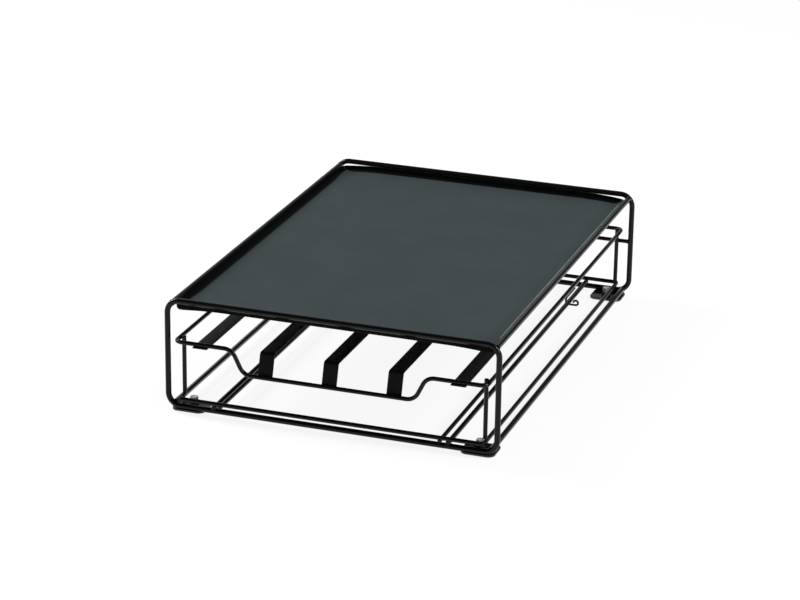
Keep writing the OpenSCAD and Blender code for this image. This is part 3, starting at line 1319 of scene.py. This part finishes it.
@dataclass(frozen=True)
class Studio:
    """Pale floor, soft lamps, a dim surround with a glow, and the camera.

    Lengths are in metres. Eye_right and eye_back are the camera's axes.
    """

    floor_half: float = 9.0
    floor_white: float = 0.16
    floor_glow: float = 0.88
    speck_cells: float = 3.0
    speck_detail: float = 2.0
    speck_edges: Span = (0.2, 0.8)
    speck_depth: float = 0.005
    dim: float = 0.07
    glow_way: Point = (-0.35, 0.72, 0.6)
    glow_tint: Colour = (0.5, 0.53, 0.535)
    glow_edges: Span = (0.80, 0.94)
    horizon: float = 0.95
    horizon_edges: Span = (0.03, 0.16)
    lens_mm: float = 132.03
    sensor_mm: float = 36.0
    far: float = 60.0
    eye: Point = (0.6372, -1.870125, 0.7796)
    eye_right: Point = (0.94357, 0.33090, 0.01358)
    eye_back: Point = (0.30539, -0.88523, 0.35087)
    lamps: tuple[Lamp, ...] = (
        Lamp("lamp_left", (-1.5, 0.15, 1.0), (0.3, 1.1), 33.0),
        Lamp("lamp_right", (1.45, -0.15, 0.95), (0.26, 1.1), 26.0),
    )

    def build(self) -> None:
        """Makes the whole studio."""
        self.lay_floor()
        self.set_world()
        for lamp in self.lamps:
            lamp.hang()
        self.set_camera()
        bpy.context.scene.view_settings.view_transform = "Standard"

    def lay_floor(self) -> None:
        """Lays a pale floor that keeps shadows.

        To the camera and in reflections it glows near white, so that no lamp has to light it.
        """
        half = self.floor_half
        corners = [(-half, -half, 0.0), (half, -half, 0.0), (half, half, 0.0), (-half, half, 0.0)]
        mesh = bpy.data.meshes.new("floor")
        mesh.from_pydata(corners, [], [(0, 1, 2, 3)])
        material = bpy.data.materials.new("white_floor")
        tree = Tree.fresh(material)
        cells = tree.noise(self.speck_cells, self.speck_detail)
        darkest = self.floor_white - self.speck_depth
        speck = tree.ramp(cells, *self.speck_edges, darkest, self.floor_white)
        colour = tree.node("CombineColor", {0: speck, 1: speck, 2: speck}).outputs[0]
        paper = tree.node("BsdfDiffuse", {"Color": colour}).outputs[0]
        rays = tree.node("LightPath").outputs
        seen = tree.math("MAXIMUM", rays["Is Camera Ray"], rays["Is Glossy Ray"])
        seen = tree.math("MAXIMUM", seen, rays["Is Transmission Ray"])
        strength = tree.math("MULTIPLY", seen, self.floor_glow)
        glow = tree.node("Emission", {"Strength": strength}).outputs[0]
        both = tree.node("AddShader", {0: paper, 1: glow}).outputs[0]
        tree.node("OutputMaterial", {"Surface": both})
        mesh.materials.append(material)
        floor = bpy.data.objects.new("floor", mesh)
        bpy.context.scene.collection.objects.link(floor)

    def set_world(self) -> None:
        """Surrounds the object with dim light, a soft cool glow behind it and a pale horizon.

        The glow is a smooth step of the cosine between a direction and the middle of the glow.
        """
        world = bpy.data.worlds.new("surround")
        tree = Tree.fresh(world)
        way = tree.node("TexCoord").outputs["Generated"]
        aims = {0: way, 1: self.glow_way}
        toward = tree.node("VectorMath", aims, operation="DOT_PRODUCT").outputs["Value"]
        share = tree.ramp(toward, *self.glow_edges)
        sky = tree.mix(share, opaque((self.dim,) * 3), opaque(self.glow_tint))
        above = tree.ramp(tree.split(way)["Z"], *self.horizon_edges)
        colour = tree.mix(above, opaque((self.horizon,) * 3), sky)
        back = tree.node("Background", {"Color": colour}).outputs[0]
        tree.node("OutputWorld", {"Surface": back})
        bpy.context.scene.world = world

    def set_camera(self) -> None:
        """Sets the camera at the viewing angle, with no shift and no blur."""
        data = bpy.data.cameras.new("camera")
        data.lens = self.lens_mm
        data.sensor_width = self.sensor_mm
        data.clip_end = self.far
        back = Vector(self.eye_back).normalized()
        up = back.cross(Vector(self.eye_right).normalized()).normalized()
        turn = Matrix((up.cross(back), up, back)).transposed().to_4x4()
        camera = bpy.data.objects.new("camera", data)
        camera.matrix_world = Matrix.Translation(self.eye) @ turn
        bpy.context.scene.collection.objects.link(camera)
        bpy.context.scene.camera = camera


def main() -> None:
    """Builds the studio, then the object's looks in order."""
    Studio().build()
    shop = Workshop.open()
    finishes = {look: look.value.make(shop) for look in Look}
    StandFrame().dress(finishes)
    TrayTop().build(finishes)
    Feet().build(finishes)
    DrawerFrame().dress(finishes)
    PodStrips().build(finishes)


if __name__ == "__main__":
    main()
